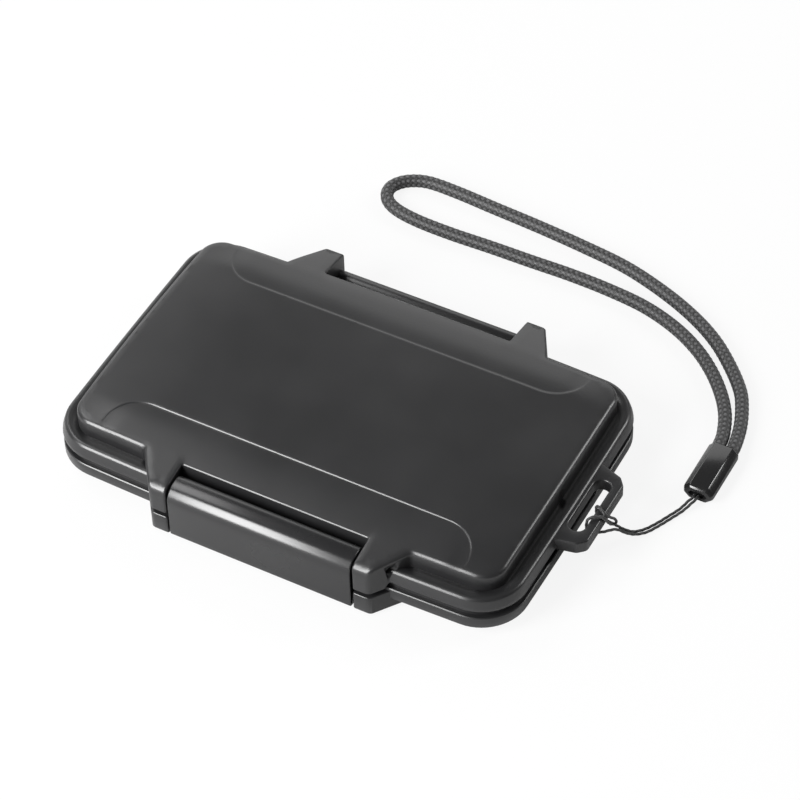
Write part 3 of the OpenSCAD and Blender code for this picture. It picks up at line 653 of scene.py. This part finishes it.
def pin_recess(obj, y, z, x0, x1):
    """Drills the open ends of a pin's hole into the ears' outer sides."""
    cutter = piece("cutter", both_sides(turned_x(y, z, [(x0, PIN_R + 0.2), (x1, PIN_R + 0.2)])), SHELL)
    cut = obj.modifiers.new("hole", "BOOLEAN")
    cut.operation = "DIFFERENCE"
    cut.solver = "EXACT"
    cut.object = cutter
    bpy.context.view_layer.objects.active = obj
    with bpy.context.temp_override(object=obj, active_object=obj):
        bpy.ops.object.modifier_apply(modifier=cut.name)
    bpy.data.objects.remove(cutter)


def joined(name, *parts):
    with bpy.context.temp_override(active_object=parts[0], selected_editable_objects=list(parts)):
        bpy.ops.object.join()
    parts[0].name = name
    return parts[0]


def make_lid():
    panel = piece("lid_panel", [panel_solid()], SHELL, 50)
    pin_recess(panel, PIVOT_Y, PIVOT_Z, x0=33.3, x1=40)
    rest = piece("lid_rim", [rim_solid(LID_SECTION, lid_mend, True), tab_solid()], SHELL)
    stand_for(joined("lid_top", panel, rest), "lid_shell", "lid")


# Base

BASE_SECTION = [(9.0, 0.0), (6.9, 0.0), (6.3, 0.08), (5.6, 0.4), (5.1, 1.0), (4.75, 2.0),
                (4.6, RIM_UNDER - 0.1), (4.5, RIM_UNDER), (0.8, RIM_UNDER), (0.4, RIM_UNDER + 0.08),
                (0.12, RIM_UNDER + 0.3), (0, RIM_UNDER + 0.7), (0, BASE_RIM_TOP - 0.6),
                (0.06, BASE_RIM_TOP - 0.2), (0.28, BASE_RIM_TOP), (GROOVE, BASE_RIM_TOP),
                (GROOVE, PARTING - 0.1), (1.4, PARTING), (3.25, PARTING), (3.3, PARTING - 0.1),
                (3.3, SEAL_FLOOR), (5.4, SEAL_FLOOR), (5.4, PARTING - 0.1), (5.45, PARTING),
                (6.5, PARTING), (6.6, PARTING - 0.1), (6.6, 1.8)]


def base_mend(ring):
    """Cuts the rooms for the hinge ears' round ends into a ring of the base's rim."""
    x, y, z = ring[:, 0], ring[:, 1], ring[:, 2]
    low_x, high_x = EAR_ROOM_X
    room = (np.abs(x) > low_x) & (np.abs(x) < high_x) & (y > ROOM_Y) & (z > EAR_ROOM_LOW)
    return np.column_stack((x, np.where(room, np.minimum(y, EAR_ROOM_Y), y), z))


def base_ear():
    plan = rounded([(EAR_X, -35.6, 0), (EAR_X, EAR_FRONT, 0.6), (31.1, EAR_FRONT, 1.9), (39.1, -35.6, 0)])
    nose_r = 0.8
    nose_y = EAR_FRONT + nose_r

    def under(p):
        fall = np.clip(nose_y - p[:, 1], 0, nose_r)
        return BASE_EAR_LOW + nose_r - np.sqrt(nose_r ** 2 - fall ** 2)

    tracks = []
    for y in (nose_y - 0.5, nose_y - 0.3, nose_y):
        track = np.array([(EAR_X + 0.6, y), (30.0, y)])
        tracks.append(lift(track, under(track)))
    return plate([plan], flat(BASE_EAR_TOP), under, edge=0.35, under=0.2, under_lines=tracks)


def barrel():
    """Hinge barrel with the web that joins it to the base's back wall."""
    outer_y, inner_y = HINGE_Y - BARREL_R - 0.7, 39.2
    web = arc(HINGE_Y, HINGE_Z, BARREL_R, -90, 150)
    web += [(outer_y, PARTING), (inner_y, PARTING), (inner_y, HINGE_Z - BARREL_R)]
    return bar(np.array(web), -BARREL_X, BARREL_X, edge=0.25)


def catch_bar():
    """Bar under the base's front rim that the latch's toe grips."""
    profile = rounded([(-39, 3.9, 0), (-41.1, 3.4, 0), (-43.9, 3.4, 0.4), (-43.9, 6.5, 0.6),
                       (-39, 6.5, 0)], 3)
    return bar(profile, -CATCH_X, CATCH_X, edge=0.3)


def make_base():
    solids = [rim_solid(BASE_SECTION, base_mend, False), barrel(), catch_bar()] + both_sides(base_ear())
    stand_for(piece("base_bottom", solids, SHELL), "base_shell", "base")


# Latch

def latch_profile():
    outer = rounded([(-41.3, 17.0, 0), (-46.5, 17.0, 4.0), (-46.5, 0.8, 0.7), (-44.75, 0.8, 0.3),
                     (-43.55, 1.9, 0.4), (-43.55, 3.1, 0.25), (-44.7, 3.6, 0.5), (-44.7, 13.0, 0),
                     (-44.4, 14.1, 0), (-43.85, 14.75, 0), (-41.3, 14.7, 0)], 1.5)
    kept = [p for p in outer if not (p[0] > -43.84 and p[1] > 4)]
    nose = [p for p in outer if p[0] > -43.84 and p[1] > 16.9]
    nose.sort(key=lambda p: -p[0])
    return np.array(nose + kept + arc(PIVOT_Y, PIVOT_Z, LATCH_R, 174, 444)[:-1])


def latch_end():
    profile = rounded([(-45.2, 4.6, 0), (-43.8, 4.6, 0), (-43.4, 7.0, 0), (-42.6, 8.6, 0.5),
                       (-42.6, 11.6, 0.5), (-41.3, 12.2, 0), (-41.3, 16.4, 0), (-43.7, 16.4, 0),
                       (-45.2, 13.0, 0)], 3)
    return bar(profile, LATCH_X - 1.5, LATCH_X - 0.12, 0.15)


def make_latch():
    solids = [bar(latch_profile(), -LATCH_X, LATCH_X, 0.35)] + both_sides(latch_end())
    stand_for(piece("latch_flap", solids, LATCH), "latch", "latch")


def make_pin(name, node, y, z, half_l):
    section = [(-half_l, 0.7), (-half_l + 0.12, 0.88), (-half_l + 0.4, PIN_R), (half_l - 0.4, PIN_R),
               (half_l - 0.12, 0.88), (half_l, 0.7)]
    stand_for(piece(name, [turned_x(y, z, section)], STEEL), node, "lid")


# Trays and seal

TRAY_HALF, TRAY_R = (59.1, 35.2), 3.8
CARD_PITCH = (28.56, 33.47)
COLUMNS, ROWS = 4, 2
COLUMN_X = [(i - (COLUMNS - 1) / 2) * CARD_PITCH[0] for i in range(COLUMNS)]
ROW_Y = [(j - (ROWS - 1) / 2) * CARD_PITCH[1] for j in range(ROWS)]


def row_pockets(y, half_w=12.3, half_l=16.3, channel=6.0):
    """Outline of one row of large pockets, joined by the channel for the fingertips."""
    loop = []
    for i, x in enumerate(COLUMN_X):
        if i > 0:
            loop.append((x - half_w, y - channel, 0.8))
        loop += [(x - half_w, y - half_l, 0.8), (x + half_w, y - half_l, 0.8)]
        if i < COLUMNS - 1:
            loop.append((x + half_w, y - channel, 0.8))
    back = [(-x, 2 * y - v, r) for x, v, r in loop]
    return rounded(loop + back, 6)


def small_pocket(x, y, half_w=5.8, half_l=7.8, notch=4.0):
    """Outline of one small pocket with its thumb notch."""
    loop = [(x - half_w, y - half_l, 0.6), (x + half_w, y - half_l, 0.6), (x + half_w, y + half_l, 0.6),
            (x + notch, y + half_l, 0.4)]
    loop += [(x + notch * math.cos(math.radians(a)), y + half_l + notch * math.sin(math.radians(a)), 0)
             for a in range(20, 161, 20)]
    loop += [(x - notch, y + half_l, 0.4), (x - half_w, y + half_l, 0.6)]
    return rounded(loop, 6)


def tray_solid(face_z, back_z, pockets, depth):
    """Tray whose pockets sink from its face towards its back, with rounded rims and floors."""
    way = 1 if face_z > back_z else -1
    outer = closed(half_outline(*TRAY_HALF, TRAY_R, 3.0))
    steps = ((-0.35, 0.0), (-0.15, 0.08), (-0.04, 0.3), (0.03, 0.6), (0.08, depth - 0.35),
             (0.2, depth - 0.08), (0.5, depth))
    lines = []
    for pocket in pockets:
        for inset, drop in steps:
            ring = lift(shrink(pocket, inset), face_z - way * drop)
            lines.append(np.vstack((ring, ring[:1])))
    top = flat(face_z) if way > 0 else flat(-face_z)
    low = flat(back_z) if way > 0 else flat(-back_z)
    if way < 0:
        lines = [line * (1, 1, -1) for line in lines]
    points, faces = plate([outer], top, low, edge=0.4, under=0.3, lines=lines)
    return (points * (1, 1, way), faces)


def make_trays():
    large = [row_pockets(y) for y in ROW_Y]
    base = piece("base_tray_insert", [tray_solid(face_z=7.6, back_z=1.8, pockets=large, depth=3.0)], TRAY)
    stand_for(base, "base_tray", "base")
    small = [small_pocket(x, y) for x in COLUMN_X for y in ROW_Y]
    lid = piece("lid_tray_insert", [tray_solid(face_z=11.3, back_z=CEILING, pockets=small, depth=1.6)], TRAY)
    stand_for(lid, "lid_tray", "lid")


def make_seal():
    section = [(3.6, 0.02), (3.5, 0.2), (3.5, 1.1), (3.62, 1.38), (3.95, 1.6), (4.35, 1.78), (4.75, 1.6),
               (5.08, 1.38), (5.2, 1.1), (5.2, 0.2), (5.1, 0.02)]
    section = [(inset, SEAL_FLOOR + rise) for inset, rise in section]
    ring = rim_solid(section, lambda r: r, True)
    stand_for(piece("seal", [ring], SEAL, 60), "seal_ring", "base")


# Strap. The routes repeat those of the CAD solids, in millimetres.

WRIST_ROUTE = [
    (88.8, 41, 2.1), (88.7, 43.5, 2.1), (88.1, 47, 1.9), (87, 51.5, 1.85), (84.9, 57, 1.85),
    (82, 62.4, 1.85), (76.3, 69, 1.85), (68.8, 75.8, 1.85), (60, 81.3, 1.85), (49, 86.1, 1.85),
    (36, 90, 1.85), (22, 92, 1.85), (8, 93.4, 1.85), (-6, 94.4, 1.85), (-18, 95.3, 1.85),
    (-27, 95.3, 1.85), (-32.4, 93.2, 1.85), (-35.2, 89.9, 1.85), (-35.4, 86.6, 1.85),
    (-33.3, 83.5, 1.85), (-29, 81.5, 1.85), (-22, 80.4, 1.85), (-12, 80.1, 1.85), (0, 80.4, 1.85),
    (12, 80.5, 1.85), (24, 80.7, 1.85), (36, 80.2, 1.85), (47, 78.8, 1.85), (57, 75.6, 1.85),
    (65.5, 71, 1.85), (72.4, 65.4, 1.85), (78.1, 59, 1.85), (81.9, 53, 1.85), (84.2, 47, 1.9),
    (84.9, 43.5, 2.1), (85, 41, 2.1)]
LOOP_ROUTE = [
    (87.6, 24.2, 2.4), (87.5, 23.2, 2.4), (86.8, 21.4, 1.9), (85.7, 18.8, 1.2), (84.1, 15.6, 0.9),
    (82.4, 12.1, 0.8), (80.6, 8.6, 1), (78.6, 5.9, 1.9), (77, 3.8, 3.8), (75.8, 2.3, 5.8),
    (75, 0.9, 7.1), (74.1, -0.7, 7.8), (73.2, -2.1, 8.3), (71.8, -3.2, 8.6), (70.4, -3.9, 8.9),
    (69.8, -4.2, 10.2), (69.8, -4.3, 12), (70, -4, 13.3), (70.8, -3.3, 13.9), (72.1, -2.5, 13.9),
    (73.1, -2, 13.7), (73.7, -1.6, 12.8), (74, -0.9, 11.3), (74.3, 0, 9.8), (74.6, 0.7, 9.1),
    (75, 1.3, 8.8), (75.2, 1.7, 9.4), (74.9, 1.4, 10.5), (74.4, 0.4, 11.8), (73.8, -0.6, 13.1),
    (73, -0.8, 13.8), (71.8, -0.1, 13.9), (70.7, 0.7, 13.7), (69.9, 1.1, 12.8), (69.8, 1.3, 11),
    (70, 1.4, 9.5), (70.8, 1.5, 8.6), (72.2, 1.6, 8.5), (73.6, 1.9, 8), (74.4, 2.4, 7.2),
    (75, 3, 6.2), (76.2, 4.5, 4), (77.8, 6.5, 1.9), (79.7, 9.2, 1), (81.5, 12.5, 0.8),
    (83.2, 16, 0.9), (84.8, 19.2, 1.2), (85.8, 21.8, 1.9), (86.5, 23.2, 2.4), (86.5, 24.2, 2.4)]


def smooth_path(route, step):
    """Points a step apart along a smooth curve through a route."""
    p = np.array(route, float)
    p = np.vstack((2 * p[0] - p[1], p, 2 * p[-1] - p[-2]))
    fine = []
    for a, b, c, d in zip(p, p[1:], p[2:], p[3:]):
        t = np.linspace(0, 1, 24, endpoint=False)[:, None]
        fine.append(0.5 * (2 * b + (c - a) * t + (2 * a - 5 * b + 4 * c - d) * t ** 2
                           + (3 * b - a - 3 * c + d) * t ** 3))
    fine = np.vstack(fine + [p[-2:-1]])
    run = np.concatenate(([0], np.cumsum(np.linalg.norm(np.diff(fine, axis=0), axis=1))))
    count = int(run[-1] / step)
    at = np.linspace(0, run[-1], count + 1)
    return np.column_stack([np.interp(at, run, fine[:, k]) for k in range(3)]), at


def cord_mesh(name, route, step, sides, radius, painted_shade, material):
    """Tube whose radius and painted shade are functions of the length along it and the angle round it."""
    path, at = smooth_path(route, step)
    ahead = unit(np.gradient(path, axis=0))
    u = np.empty_like(path)
    v = np.array((0.0, 0.0, 1.0))
    for i, t in enumerate(ahead):
        v = v - t * (v @ t)
        v = v / np.linalg.norm(v)
        u[i] = v
    w = np.cross(ahead, u)
    angle = 2 * np.pi * np.arange(sides) / sides
    s, a = np.meshgrid(at, angle, indexing="ij")
    r = radius(s, a)[:, :, None]
    points = path[:, None] + r * (np.cos(a)[:, :, None] * u[:, None] + np.sin(a)[:, :, None] * w[:, None])
    faces = []
    for i in range(len(path) - 1):
        faces += wall_faces(i * sides, (i + 1) * sides, sides)
    faces += [list(range(sides))[::-1], list(range((len(path) - 1) * sides, len(path) * sides))]
    mesh = bpy.data.meshes.new(name)
    mesh.from_pydata(points.reshape(-1, 3) * MM, [], faces)
    mesh.shade_smooth()
    shade = mesh.attributes.new("painted_shade", "FLOAT", "POINT")
    shade.data.foreach_set("value", painted_shade(s, a).ravel().astype(np.float32))
    mesh.materials.append(material)
    obj = bpy.data.objects.new(name, mesh)
    bpy.context.scene.collection.objects.link(obj)
    return obj, path * MM


# The braid's yarns each way and the length of one turn; the thin cord's strands and their turn
CARRIERS, LEAD = 8, 13.2
WRIST_R, WEAVE_DEPTH = 1.62, 0.22
STRANDS, TWIST = 3, 2.0
THIN_R, STRAND_DEPTH = 0.36, 0.035


def braid_relief(s, a):
    """Height of a plain braid from -1 to 1, and which of its two hands lies on top."""
    first = CARRIERS * (a / (2 * np.pi) + s / LEAD)
    second = CARRIERS * (a / (2 * np.pi) - s / LEAD)
    i, j = np.round(first), np.round(second)
    belly = 0.55
    high_a = (1 - belly) * np.cos(np.pi * (second - i)) + belly * np.sqrt(
        np.maximum(1 - (2 * (first - i)) ** 2, 0))
    high_b = -(1 - belly) * np.cos(np.pi * (first - j)) + belly * np.sqrt(
        np.maximum(1 - (2 * (second - j)) ** 2, 0))
    return np.maximum(high_a, high_b), high_a > high_b


def wrist_radius(s, a):
    return WRIST_R + WEAVE_DEPTH * braid_relief(s, a)[0]


# Painted shade and highlight: gaps between strands painted dark, strand tops painted light, and the hand
# lying underneath painted darker (0.62).
def wrist_painted_shade(s, a):
    high, hand = braid_relief(s, a)
    return np.clip((high + 0.1) / 1.1, 0, 1) * np.where(hand, 1.0, 0.62)


def strand_wave(s, a):
    return np.cos(STRANDS * a - 2 * np.pi * s / TWIST)


def loop_radius(s, a):
    return THIN_R + STRAND_DEPTH * strand_wave(s, a)


# Painted shade and highlight: the grooves between the twisted strands painted dark, their tops painted
# light.
def loop_painted_shade(s, a):
    return 0.5 + 0.5 * strand_wave(s, a)


FERRULE_X, FERRULE_Y0, FERRULE_Y1, FERRULE_W, FERRULE_H = 87.1, 24.2, 41.0, 8.2, 5.0


def ferrule_ring(y, inset, facet=1.7):
    half_w, half_h = FERRULE_W / 2 - inset, FERRULE_H / 2 - inset
    cut = max(facet - 0.59 * inset, 0.1)
    r = max(0.5 - 0.2 * inset, 0.1)
    quarter = [(half_w, half_h - cut, r), (half_w - cut, half_h, r)]
    loop = quarter + [(-x, z, q) for x, z, q in quarter[::-1]]
    loop += [(-x, -z, q) for x, z, q in loop]
    return np.array([(FERRULE_X + x, y, FERRULE_H / 2 + z) for x, z in rounded(loop, 50)])


def make_ferrule():
    """Sleeve with soft edges, a small mouth for the thin cord and an open end for the braid."""
    end, back = FERRULE_Y0, FERRULE_Y1
    section = [(end + 2.2, 1.9), (end + 0.5, 1.72), (end + 0.08, 1.62), (end, 1.45), (end, 1.1),
               (end + 0.18, 0.62), (end + 0.5, 0.3), (end + 0.95, 0.08), (end + 1.5, 0.0),
               (back - 0.5, 0.0), (back - 0.15, 0.12), (back, 0.35), (back - 0.05, 0.5), (back - 1.2, 0.55)]
    rings = [ferrule_ring(y, inset) for y, inset in section]
    count = min(len(r) for r in rings)
    points = np.concatenate([r[:count] for r in rings])
    faces = []
    for k in range(len(rings) - 1):
        faces += wall_faces(k * count, (k + 1) * count, count)
    faces += [list(range(count)), list(range(len(points) - count, len(points)))]
    sleeve = piece("strap_sleeve", [solid(points, faces)], GLOSSY, 40)
    stand_for(sleeve, "ferrule", "base")
    return sleeve


def make_strap():
    sleeve = make_ferrule()
    wrist, path = cord_mesh("wrist_loop", WRIST_ROUTE, step=0.22, sides=48, radius=wrist_radius,
                            painted_shade=wrist_painted_shade, material=BRAID)
    stand_for(wrist, "wrist_cord", "base")
    thin, path = cord_mesh("thin_loop", LOOP_ROUTE, step=0.16, sides=18, radius=loop_radius,
                           painted_shade=loop_painted_shade, material=THIN_CORD)
    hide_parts("loop_cord")
    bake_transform(thin)


# Floor and light

def make_floor():
    """Pale floor that keeps the shadow; the camera sees most of it as plain white."""
    size = 3.0
    mesh = bpy.data.meshes.new("floor")
    corners = [(-size, -size, 0), (size, -size, 0), (size, size, 0), (-size, size, 0)]
    mesh.from_pydata(corners, [], [(0, 1, 2, 3)])
    material = bpy.data.materials.new("floor_white")
    material.use_nodes = True
    tree = material.node_tree
    tree.nodes.clear()
    lit = add_node(tree, "ShaderNodeBsdfDiffuse", Color=(0.55, 0.55, 0.55, 1))
    glow = add_node(tree, "ShaderNodeEmission", Color=(1, 1, 1, 1), Strength=1.0)
    mix = add_node(tree, "ShaderNodeMixShader")
    rays = add_node(tree, "ShaderNodeLightPath")
    share = add_node(tree, "ShaderNodeMath", operation="MULTIPLY")
    share.inputs[1].default_value = 0.88
    out = add_node(tree, "ShaderNodeOutputMaterial")
    tree.links.new(rays.outputs["Is Camera Ray"], share.inputs[0])
    tree.links.new(share.outputs[0], mix.inputs["Fac"])
    tree.links.new(lit.outputs[0], mix.inputs[1])
    tree.links.new(glow.outputs[0], mix.inputs[2])
    tree.links.new(mix.outputs[0], out.inputs["Surface"])
    mesh.materials.append(material)
    floor = bpy.data.objects.new("floor", mesh)
    bpy.context.scene.collection.objects.link(floor)


def make_world():
    world = bpy.data.worlds.new("studio")
    bpy.context.scene.world = world
    world.use_nodes = True
    tree = world.node_tree
    tree.nodes.clear()
    soft = add_node(tree, "ShaderNodeBackground", Color=(1, 1, 1, 1), Strength=0.14)
    white = add_node(tree, "ShaderNodeBackground", Color=(1, 1, 1, 1), Strength=1.0)
    rays = add_node(tree, "ShaderNodeLightPath")
    mix = add_node(tree, "ShaderNodeMixShader")
    out = add_node(tree, "ShaderNodeOutputWorld")
    tree.links.new(rays.outputs["Is Camera Ray"], mix.inputs["Fac"])
    tree.links.new(soft.outputs[0], mix.inputs[1])
    tree.links.new(white.outputs[0], mix.inputs[2])
    tree.links.new(mix.outputs[0], out.inputs["Surface"])


def area_light(name, toward, along, width, length, radiance, distance=1.0):
    """Lamp that faces the case from a direction, with its length turned along another one."""
    z = Vector(toward).normalized()
    y = Vector(along)
    y = (y - z * y.dot(z)).normalized()
    data = bpy.data.lights.new(name, "AREA")
    data.shape = "RECTANGLE"
    data.size, data.size_y = width, length
    data.energy = radiance * math.pi * width * length
    lamp = bpy.data.objects.new(name, data)
    lamp.matrix_world = Matrix.Translation(z * distance) @ Matrix((y.cross(z), y, z)).transposed().to_4x4()
    bpy.context.scene.collection.objects.link(lamp)


def make_lights():
    area_light("front_box", (-0.41, -0.78, 0.47), (0, 0.6, 0.8), 0.42, 0.85, 25)
    area_light("upper_left_box", (-0.60, 0.12, 0.80), (0, 1, -0.15), 0.3, 0.5, 6)
    area_light("right_box", (0.62, 0.6, 0.5), (1, 0, -1), 0.3, 0.4, 13)
    area_light("back_box", (-0.40, 0.86, 0.42), (1, 0, 0), 0.5, 1.2, 1.8)
    area_light("left_box", (-0.92, 0.3, 0.4), (0, 1, 0), 0.4, 0.8, 1.5)


make_strap()
make_lid()
make_base()
make_latch()
make_pin("latch_pivot_pin", "latch_pin", PIVOT_Y, PIVOT_Z, LATCH_PIN_HALF)
make_pin("hinge_axle_pin", "hinge_pin", HINGE_Y, HINGE_Z, HINGE_PIN_HALF)
make_trays()
make_seal()
make_floor()
make_world()
make_lights()

bpy.context.scene.view_settings.view_transform = "Standard"
